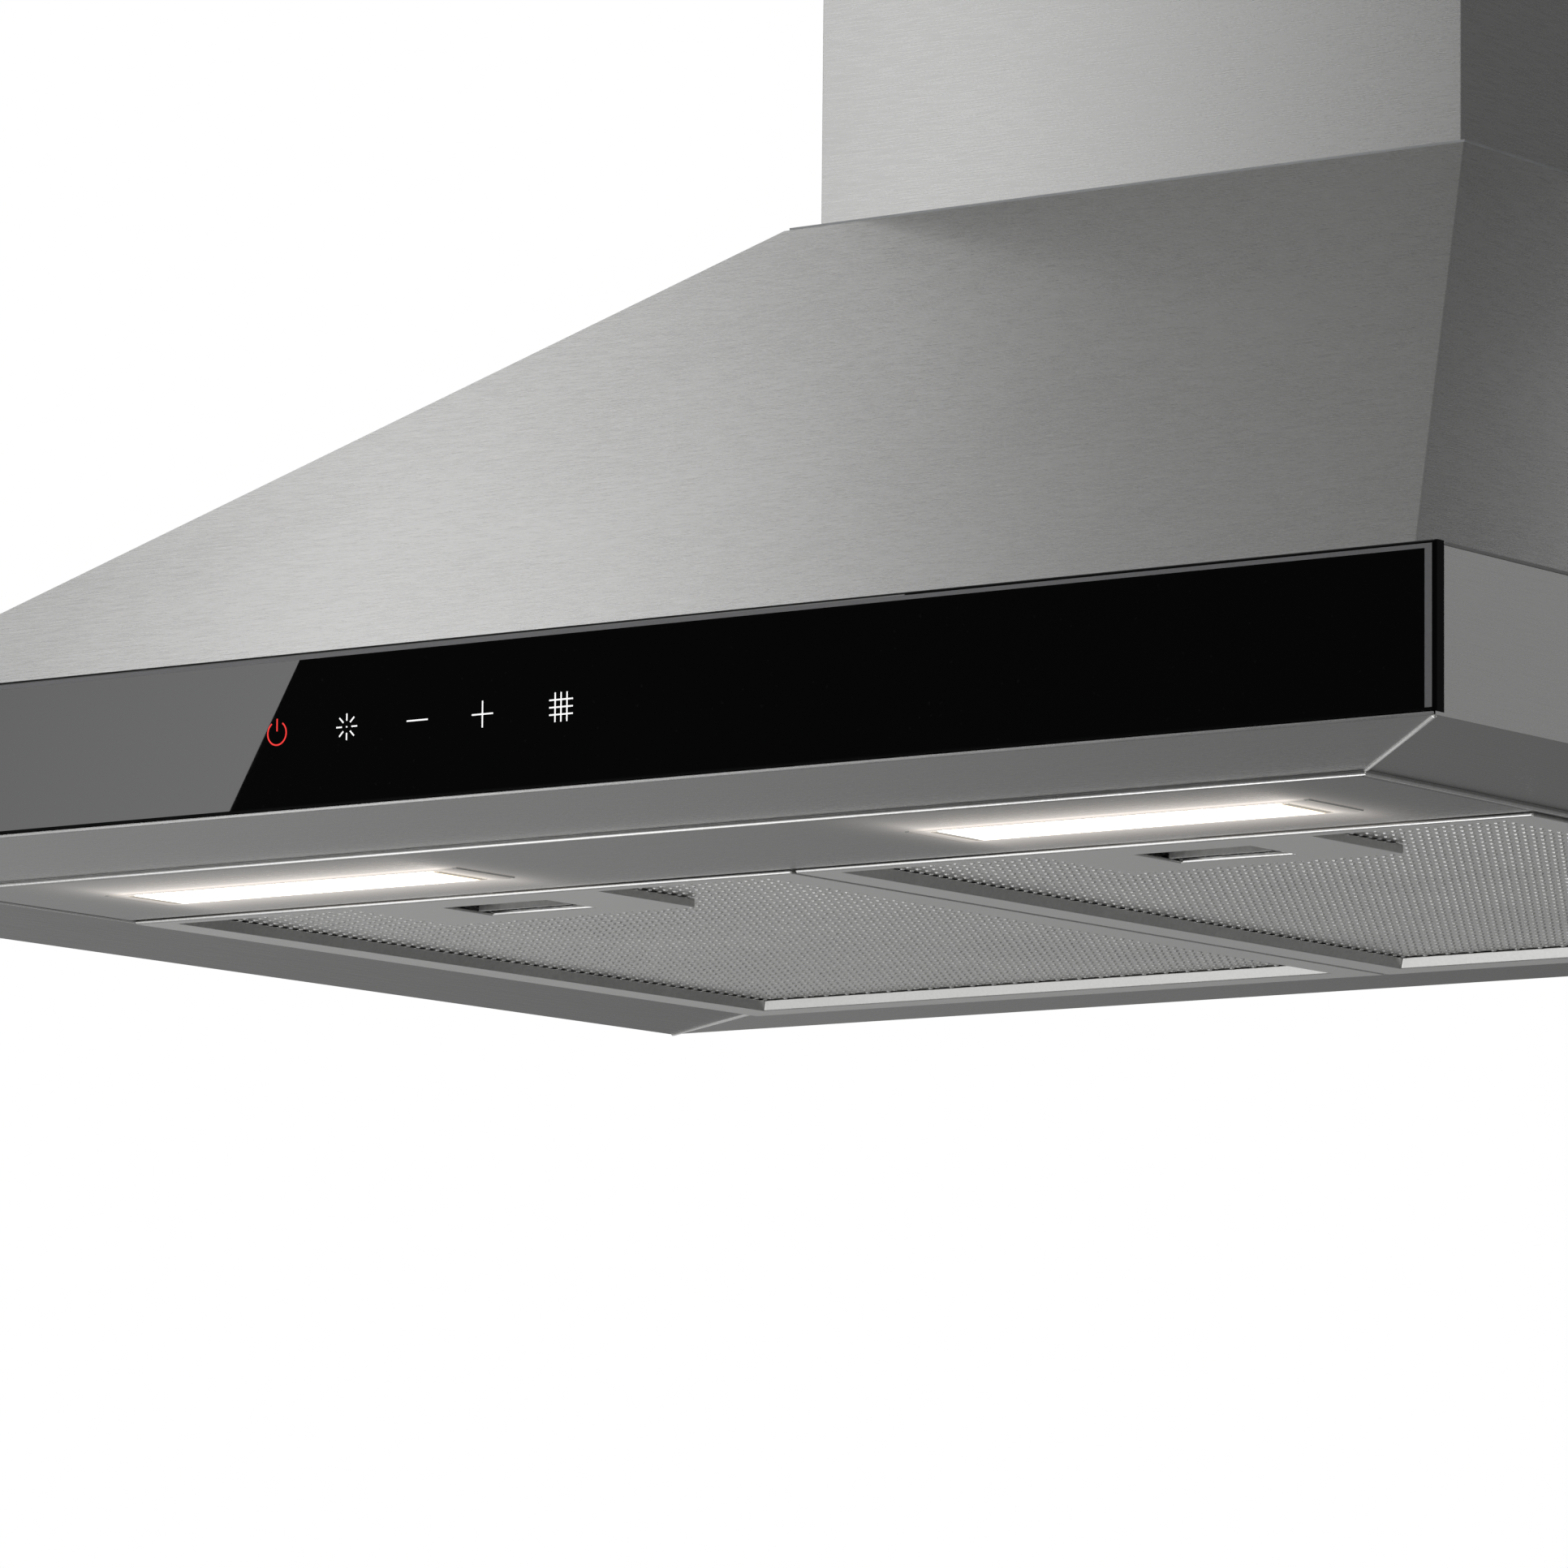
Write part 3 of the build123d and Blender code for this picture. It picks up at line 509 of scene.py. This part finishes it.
def bar(x0, z0, x1, z1, width):
    """A straight stroke as one closed outline."""
    dx, dz = x1 - x0, z1 - z0
    length = hypot(dx, dz)
    a, b = -dz / length * width / 2, dx / length * width / 2
    return [(x0 + a, z0 + b), (x1 + a, z1 + b), (x1 - a, z1 - b), (x0 - a, z0 - b)]


def key_symbol(name, x, material):
    """One generic key symbol, drawn in strokes on the front of the glass."""
    front = GLASS_LOW.y + GLASS_INSET - SYMBOL_PROUD
    back = GLASS_LOW.y + GLASS_INSET + 0.02 * MM
    build = Build()

    def place(a, b, h):
        return (x * MM + a, h, KEY_Z + b)

    def stroke(outline):
        build.slab(outline[::-1], back, front, place)

    def bent(radius, start, stop):
        outer, inner = arc(radius, start, stop, STROKE)
        for i in range(len(outer) - 1):
            stroke([outer[i], outer[i + 1], inner[i + 1], inner[i]])

    k = KEY_HALF
    if name == "power":
        bent(k * 0.9, radians(125), radians(415))
        stroke(bar(0, k * 0.15, 0, k * 1.1, STROKE))
    if name == "lamp":
        stroke([(STROKE * 0.6 * cos(t * pi / 6), STROKE * 0.6 * sin(t * pi / 6)) for t in range(12)])
        for i in range(8):
            t = i * pi / 4
            stroke(bar(k * 0.46 * cos(t), k * 0.46 * sin(t), k * cos(t), k * sin(t), STROKE))
    if name in ("minus", "plus"):
        stroke(bar(-k, 0, k, 0, STROKE))
    if name == "plus":
        stroke(bar(0, -k, 0, k, STROKE))
    if name == "filter":
        for step in (-0.55, 0.0, 0.55):
            stroke(bar(-k * 1.1, k * step, k * 1.1, k * step, STROKE))
            for end in (-1.1, -0.55, 0.0, 0.55):
                gap = STROKE / 2 * (end > -1.0)
                stop = end + 0.55 - STROKE / 2 / k * (end < 0.5)
                stroke(bar(k * step, k * end + gap, k * step, k * stop, STROKE))
    build.piece(f"key_{name}", material, "housing", "lamp_lens")


# ---- perforated filter sheets ----
def hole_cell(build, cell, levels, radius, foot):
    """One rectangle of sheet with a six-sided hole whose collar stands proud of the sheet."""
    x0, x1, y0, y1 = cell
    lip, sheet, floor = levels
    cx, cy = (x0 + x1) / 2, (y0 + y1) / 2
    points = [(x1, y1, sheet), (x0, y1, sheet), (x0, y0, sheet), (x1, y0, sheet)]
    for r, z in ((foot, sheet), (radius, lip), (radius, floor)):
        points += [(cx + r * cos(pi / 3 * i), cy + r * sin(pi / 3 * i), z) for i in range(6)]
    up, down, left, right = (0, 4, 5, 6, 1), (2, 7, 8, 9, 3), (1, 6, 7, 2), (3, 9, 4, 0)
    build.add(points, [face if lip < floor else face[::-1] for face in (up, left, down, right)])
    walls = []
    for base in (0, 6):
        for i in range(6):
            j = (i + 1) % 6
            walls.append((base + i, base + j, base + 6 + j, base + 6 + i))
    build.add(points[4:], [wall if lip < floor else wall[::-1] for wall in walls], mark=1)


def perforated(node, body, looks, see_up, pitch, row_pitch, radius, skip=None):
    """A sheet the size of a CAD node with staggered holes over a floor of mesh.

    looks are the sheet's, the collars' and the floor's materials; see_up means seen from below;
    skip(x, y) says where there are no holes.
    """
    low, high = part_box(node)
    lip, far = (low.z, high.z) if see_up else (high.z, low.z)
    foot = radius * COLLAR_R / HOLE_R
    sheet = lip + (far - lip) * min(0.5, COLLAR_H / (high.z - low.z))
    floor = far - (far - lip) * 0.08
    x0, x1 = low.x + RAIL - OVERLAP, high.x - RAIL + OVERLAP
    y0, y1 = low.y + RAIL_FRONT - OVERLAP, high.y - RAIL + OVERLAP
    columns, rows = round((x1 - x0) / row_pitch), round((y1 - y0) / pitch)
    dx, dy = (x1 - x0) / columns, (y1 - y0) / rows
    order = (0, 3, 2, 1) if see_up else (0, 1, 2, 3)
    build = Build()

    def flat(xa, xb, ya, yb, z=sheet, mark=0):
        build.add([(xa, ya, z), (xb, ya, z), (xb, yb, z), (xa, yb, z)], [order], mark=mark)

    for column in range(columns):
        xa, xb = x0 + column * dx, x0 + (column + 1) * dx
        shift = dy / 2 if column % 2 else 0.0
        for row in range(rows - (column % 2)):
            ya = y0 + shift + row * dy
            if not (skip and skip((xa + xb) / 2, ya + dy / 2)):
                hole_cell(build, (xa, xb, ya, ya + dy), (lip, sheet, floor), radius, foot)
        if shift:
            flat(xa, xb, y0, y0 + shift)
            flat(xa, xb, y1 - shift, y1)
    flat(low.x, high.x, low.y, y0)
    flat(low.x, high.x, y1, high.y)
    flat(low.x, x0, y0, y1)
    flat(x1, high.x, y0, y1)
    flat(low.x, high.x, low.y, high.y, floor, mark=2)
    rim = [(low.x, low.y), (high.x, low.y), (high.x, high.y), (low.x, high.y)]
    points = [(x, y, z) for z in (sheet, floor) for x, y in rim]
    build.add(points, [(i, (i + 1) % 4, 4 + (i + 1) % 4, 4 + i) for i in range(4)])
    made = build.piece(node + "_holes", looks, body, "aluminium")
    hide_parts(node)


# ---- latch springs ----
def latch_spring(side, material):
    """A coil in place of the CAD sleeve."""
    node = f"latch_spring_{side}"
    low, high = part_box(node)
    wire, around, sides = COIL_WIRE, 20, 6
    steps = COIL_TURNS * around
    middle = (low + high) / 2
    radius = (high.x - low.x) / 2 - wire
    rise = high.y - low.y - 2 * wire
    points = []
    for i in range(steps + 1):
        turn = 2 * pi * i / around
        outward = Vector((cos(turn), 0, sin(turn)))
        centre = Vector((middle.x, low.y + wire + rise * i / steps, middle.z)) + radius * outward
        for k in range(sides):
            tilt = 2 * pi * k / sides
            points.append(tuple(centre + wire * (cos(tilt) * outward + sin(tilt) * Vector((0, 1, 0)))))
    faces = tube_faces(steps + 1, sides)
    made = piece(f"latch_coil_{side}", points, faces, material, f"filter_{side}", smooth=True)
    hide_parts(node)
    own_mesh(made)


# ---- rolled hems: thin rods along folded edges and mitres, in lighter metal as painted highlights ----
def rod(build, a, b, radius=HEM_R, sides=10):
    """A thin rod with rounded ends."""
    a, b = Vector(a), Vector(b)
    along = (b - a).normalized()
    first = along.orthogonal().normalized()
    second = along.cross(first)
    stops = [(a - along * radius * 0.9, 0.35), (a - along * radius * 0.5, 0.8), (a, 1.0),
             (b, 1.0), (b + along * radius * 0.5, 0.8), (b + along * radius * 0.9, 0.35)]
    points = []
    for middle, share in stops:
        for k in range(sides):
            turn = 2 * pi * k / sides
            points.append(middle + radius * share * (cos(turn) * first + sin(turn) * second))
    build.add(points, tube_faces(len(stops), sides))


def opening_hems(material):
    """Along the four sides of the opening, and out along the four mitres."""
    build = Build()
    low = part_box("right_rail")[0]
    inner_x, inner_front, inner_rear = low.x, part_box("front_rail")[1].y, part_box("rear_rail")[0].y
    fold_x, fold_front, fold_rear = 2.0 * MM, 2.2 * MM, 1.3 * MM
    x, front, rear = inner_x + fold_x, inner_front - fold_front, inner_rear + fold_rear
    z = low.z + 0.8 * HEM_R
    corners = [(-x, front, z), (x, front, z), (x, rear, z), (-x, rear, z)]
    for i in range(4):
        rod(build, corners[i], corners[(i + 1) % 4])
    for sx in (-1, 1):
        for y, outer in ((front, GLASS_LOW.y), (rear, 0.0)):
            start = Vector((sx * x, y, STRIP_Z))
            stop = Vector((sx * OUTER, outer, STRIP_Z))
            rod(build, start + (stop - start) * 0.01, start + (stop - start) * 0.985)
    build.piece("hem_opening", material, "housing", "steel", smooth=True)


def filter_hems(side, material):
    """Along the lower front edge of a filter and the rear edge of its finger window."""
    build = Build()
    low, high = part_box(f"filter_frame_{side}")
    z = low.z + 1.05 * HEM_R
    rod(build, (low.x + HEM_R, low.y, z), (high.x - HEM_R, low.y, z))
    plate_low, plate_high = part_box(f"handle_plate_{side}")
    middle = (plate_low.x + plate_high.x) / 2
    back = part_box(f"latch_slide_{side}")[1].y - FINGER_BACK
    z = plate_low.z + HEM_R
    rod(build, (middle - FINGER_HALF, back, z), (middle + FINGER_HALF, back, z))
    build.piece(f"hem_filter_{side}", material, f"filter_{side}", "aluminium", smooth=True)


# ---- light ----
TARGET = Vector((0.05, -0.35, 0.0))

# name, direction from TARGET, distance, width, height, radiance
# The two "key" boxes are narrow and give the upright bands on the chimney and the canopy.
ROOM_LIGHTS = [
    ("key_canopy", (-3.4, 0.4, 3.9), 5.0, 2.6, 0.6, 1.5),
    ("wide_canopy", (-3.6, 0.4, 3.5), 5.2, 2.6, 1.6, 0.42),
    ("key_chimney", (-2.08, -2.55, 0.9), 3.6, 0.22, 2.6, 1.1),
    ("base_front_left", (-0.72, -0.67, 0.20), 4.0, 2.0, 3.0, 0.32),
    ("fill_front", (0.30, -0.95, 0.12), 4.0, 2.0, 3.0, 0.35),
    ("fill_right", (1.0, 0.0, 0.20), 4.0, 2.0, 3.0, 0.40),
    ("fill_left", (-1.0, 0.1, 0.20), 4.0, 1.6, 3.0, 0.40),
    ("fill_back", (0.0, 1.0, 0.15), 4.0, 2.0, 3.0, 0.75),
]
WALL_LIGHTS = [
    ("wall_right", (0.60, 0.79, 0.12), 3.5, 1.6, 1.6, 0.2),
]
FILTER_LIGHTS = [
    ("filters_front", (0.57, -0.82, 0.02), 3.4, 1.8, 1.4, 1.1),
    ("filters_below", (-0.55, -0.45, -0.70), 1.5, 1.2, 1.2, 0.8),
    ("filters_behind", (-0.2, 0.95, -0.28), 3.0, 5.0, 0.9, 0.22),
    ("filters_under", (0.03, -0.2, -1.0), 1.4, 1.0, 1.0, 1.3),
    ("filters_low_left", (-0.59, -0.80, -0.10), 3.0, 1.6, 1.6, 0.5),
]
FLOOR_LIGHTS = [
    ("floor_light", (0.0, 0.0, 1.0), 4.0, 10.0, 10.0, 1.3),
]

CARD_EDGE = Vector((-0.889, -1.5, GLASS_LOW.z + 0.195))     # a point on the card's right-hand edge
CARD_SLANT = radians(59)
CARD_WIDTH = 0.9
CARD_LENGTH = 2.4
CARD_RADIANCE = 7.6
CARD_FADE = (0.0, 0.5, 1.0, 0.45)      # across its width the strength goes from 1.0 to 0.45


def softbox(name, direction, distance, width, height, radiance):
    """A rectangle of light that faces TARGET; the camera does not see it."""
    light = bpy.data.lights.new(name, "AREA")
    light.shape = "RECTANGLE"
    light.size, light.size_y = width, height
    light.energy = 4 * radiance * width * height
    holder = bpy.data.objects.new(name, light)
    away = Vector(direction).normalized()
    turn = away.to_track_quat("Z", "Y").to_matrix().to_4x4()
    holder.matrix_world = Matrix.Translation(TARGET + away * distance) @ turn
    holder.visible_camera = False
    SCENE.collection.objects.link(holder)
    return holder


def only_on(light, objects):
    """Lets a light reach these objects and no others."""
    group = bpy.data.collections.new(light.name + "_on")
    for obj in objects:
        group.objects.link(obj)
    light.light_linking.receiver_collection = group


def panel_card():
    """A slanted card that shows as a grey reflection in the left half of the control glass."""
    along = Vector((cos(CARD_SLANT), 0, sin(CARD_SLANT)))
    left = Vector((-sin(CARD_SLANT), 0, cos(CARD_SLANT)))
    centre = CARD_EDGE + left * CARD_WIDTH / 2
    card = softbox("panel_card", (0, -1, 0), 1.0, CARD_WIDTH, CARD_LENGTH, CARD_RADIANCE)
    turn = Matrix((left, -along, along.cross(left))).transposed()
    card.matrix_world = Matrix.Translation(centre) @ turn.to_4x4()
    card.data.use_nodes = True
    tree = card.data.node_tree
    fade = tree.nodes.new("ShaderNodeMapRange")
    for name, number in zip(RANGE_SOCKETS, CARD_FADE):
        fade.inputs[name].default_value = number
    parts = tree.nodes.new("ShaderNodeSeparateXYZ")
    tree.links.new(tree.nodes.new("ShaderNodeNewGeometry").outputs["Parametric"], parts.inputs[0])
    tree.links.new(parts.outputs[0], fade.inputs["Value"])
    tree.links.new(fade.outputs[0], tree.nodes["Emission"].inputs["Strength"])
    return card


def lights(glass):
    """The room's light falls on everything but the glass, which shows only the card."""
    others = [o for o in SCENE.objects if o.type == "MESH" and o is not glass]
    sheets = [o for o in others if o.name.startswith(("filter_", "handle_", "latch_", "hem_"))]
    reached = [
        (ROOM_LIGHTS, others),
        (WALL_LIGHTS, [NODES["right_rail"]]),
        (FILTER_LIGHTS, sheets),
        (FLOOR_LIGHTS, [bpy.data.objects["floor"]]),
    ]
    for rows, objects in reached:
        for row in rows:
            only_on(softbox(*row), objects)
    only_on(panel_card(), [glass])


def world():
    """White to the camera.  In reflections a grey room, lighter above, at the left rear and low left."""
    made = bpy.data.worlds.new("world")
    made.use_nodes = True
    tree = made.node_tree
    tree.nodes.clear()

    def node(kind, **settings):
        new = tree.nodes.new(kind)
        for key, value in settings.items():
            setattr(new, key, value)
        return new

    def ramp(source, start, stop, low, high):
        new = node("ShaderNodeMapRange", interpolation_type="SMOOTHSTEP")
        for name, number in zip(RANGE_SOCKETS, (start, stop, low, high)):
            new.inputs[name].default_value = number
        tree.links.new(source, new.inputs["Value"])
        return new.outputs[0]

    def join(operation, a, b):
        new = node("ShaderNodeMath", operation=operation)
        tree.links.new(a, new.inputs[0])
        tree.links.new(b, new.inputs[1])
        return new.outputs[0]

    parts = node("ShaderNodeSeparateXYZ")
    tree.links.new(node("ShaderNodeTexCoord").outputs["Generated"], parts.inputs[0])
    x, y, z = parts.outputs
    left = join("MULTIPLY", ramp(x, -0.15, -0.55, 0.0, 0.12), ramp(y, -0.2, 0.3, 0.0, 1.0))
    above = join("MULTIPLY", left, ramp(z, 0.0, 0.5, 0.2, 1.0))
    below = join("MULTIPLY", ramp(z, 0.02, -0.22, 0.0, 1.0), ramp(x, -0.46, -0.72, 0.0, 0.24))
    base = ramp(z, 0.5, 1.0, 0.13, 0.30)
    grey = node("ShaderNodeBackground")
    tree.links.new(join("ADD", join("ADD", above, below), base), grey.inputs["Strength"])
    grey.inputs["Color"].default_value = (1, 1, 1, 1)
    white = node("ShaderNodeBackground")
    white.inputs["Color"].default_value = (1, 1, 1, 1)
    share = node("ShaderNodeMixShader")
    tree.links.new(node("ShaderNodeLightPath").outputs["Is Camera Ray"], share.inputs[0])
    tree.links.new(grey.outputs[0], share.inputs[1])
    tree.links.new(white.outputs[0], share.inputs[2])
    tree.links.new(share.outputs[0], node("ShaderNodeOutputWorld").inputs[0])
    SCENE.world = made


def floor():
    """A plain pale floor well under the hood, kept out of the reflections and the light on the hood."""
    s = Shader("floor")
    cloud = s.noise(s.coords.outputs["Object"], scale=1.5, detail=3.0)
    s.wire(s.mix(cloud, (0.78, 0.78, 0.77), (0.84, 0.84, 0.83)), s.bsdf.inputs["Base Color"])
    s.plain(Roughness=0.9)
    mesh = bpy.data.meshes.new("floor")
    signs = ((-1, -1), (1, -1), (1, 1), (-1, 1))
    corners = [(sx * FLOOR_HALF, sy * FLOOR_HALF, FLOOR_Z) for sx, sy in signs]
    mesh.from_pydata(corners, [], [(0, 1, 2, 3)])
    mesh.materials.append(s.material)
    made = bpy.data.objects.new("floor", mesh)
    made.visible_glossy = False
    made.visible_diffuse = False
    SCENE.collection.objects.link(made)


# ---- put it together ----
SIDES = ("left", "right")
FOLDED = ["front_rail", "rear_rail", "left_rail", "right_rail", "top_ledge", "canopy_shell",
          "chimney_lower", "lamp_panel", "handle_plate_left", "handle_plate_right", "filter_frame_left",
          "filter_frame_right"]
MOULDED = ["control_case", "touch_cover", "lamp_case_left", "lamp_case_right"]


def dress(names, material):
    """Puts one material on whole CAD nodes."""
    for name in names:
        for place in NODES[name].material_slots:
            place.material = material


def both(*parts):
    """The names of a part on the left and on the right."""
    return [f"{part}_{side}" for side in SIDES for part in parts]


def materials():
    """Dresses the CAD nodes; returns the materials that the pieces made here share with them."""
    steel = brushed("steel_brushed")
    dress(["front_rail", "rear_rail", "top_ledge", "canopy_shell", "chimney_lower", "chimney_upper"], steel)
    # The lamp panel carries painted glow round the lenses.
    dress(["lamp_panel"], brushed("steel_lamp_panel", glow=painted_lamp_spill))
    dress(["left_rail", "right_rail"],
          brushed("steel_brushed_deep", long=45.0, contrast=0.12, along_y=True))
    zinc = satin_metal("galvanised", (0.50, 0.51, 0.52), 0.42, speckle=160.0, contrast=0.2)
    dress(["back_panel", "deck_plate", "outlet_screws", "flap_pins", "chimney_bracket", "bracket_screws"],
          zinc)
    aluminium = satin_metal("aluminium_satin", (0.60, 0.60, 0.59), 0.34)
    dress(both("filter_frame", "handle_plate", "latch_slide"), aluminium)
    dress(both("filter_hooks"), zinc)
    core = mesh_core()
    dress(both("filter_core"), core)
    dress(["motor", "motor_shaft"], satin_metal("motor_steel", (0.23, 0.23, 0.24), 0.45, speckle=500.0))
    dark = plastic("plastic_dark", (0.03, 0.03, 0.033), 0.55)
    dress(["touch_cover", "cable_gland", "scroll_band", "scroll_front", "scroll_rear", "inlet_ring",
           "outlet_base", "outlet_walls", "outlet_lid", "duct_collar", "flap_front", "flap_rear",
           "impeller"], dark)
    light = plastic("plastic_light", (0.62, 0.62, 0.60), 0.5)
    dress(["control_case"] + both("latch_guide"), light)
    # The lamp cases carry the same painted glow round the lenses.
    lit = plastic("plastic_lamp_case", (0.62, 0.62, 0.60), 0.4, glow=painted_lamp_spill)
    dress(both("lamp_case"), lit)
    dress(["touch_board", "control_board"] + both("led_board"), circuit_board())
    dress(both("lamp_lens"), lamp_glow())
    return aluminium, core, zinc


def filter_sheets(side, looks):
    """The lower sheet, left whole under the handle's plate, and the coarser upper one."""
    low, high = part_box(f"handle_plate_{side}")

    def covered(x, y):
        return low.x + 2 * MM < x < high.x - 2 * MM and y < high.y - 2 * MM

    body = f"filter_{side}"
    perforated(f"filter_face_{side}", body, looks, True, HOLE_PITCH, ROW_PITCH, HOLE_R, covered)
    perforated(f"filter_top_{side}", body, looks, False, 2 * HOLE_PITCH, 2 * ROW_PITCH, 2 * HOLE_R)


def pieces(aluminium, core, zinc):
    """Makes every visual piece."""
    control_glass(black_glass())
    glass_strip(satin_metal("glass_edge_highlight", (0.30, 0.30, 0.31), 0.42))
    white = printed("key_white", (0.95, 0.95, 0.95), 1.0)
    red = printed("key_red", (0.78, 0.035, 0.03), 1.1)
    for name, x in KEYS.items():
        key_symbol(name, x, red if name == "power" else white)
    # A lighter copy of the metal for the hems, the hole collars and the bezel rods: painted highlights
    # along these edges.
    bright = satin_metal("cut_edge", (0.92, 0.92, 0.91), 0.32)
    for side in SIDES:
        filter_sheets(side, [aluminium, bright, core])
        latch_spring(side, zinc)
        filter_hems(side, bright)
        bezel_edges(side, bright)
    opening_hems(bright)


def edges():
    """Rounds the folded and the moulded edges of the CAD nodes."""
    for names, width in ((FOLDED, FOLD_ROUND), (MOULDED, MOULD_ROUND)):
        for name in names:
            bevelled(NODES[name], width)


make_camera()
pieces(*materials())
edges()
floor()
lights(bpy.data.objects["control_glass_front"])
world()
SCENE.view_settings.view_transform = "Standard"
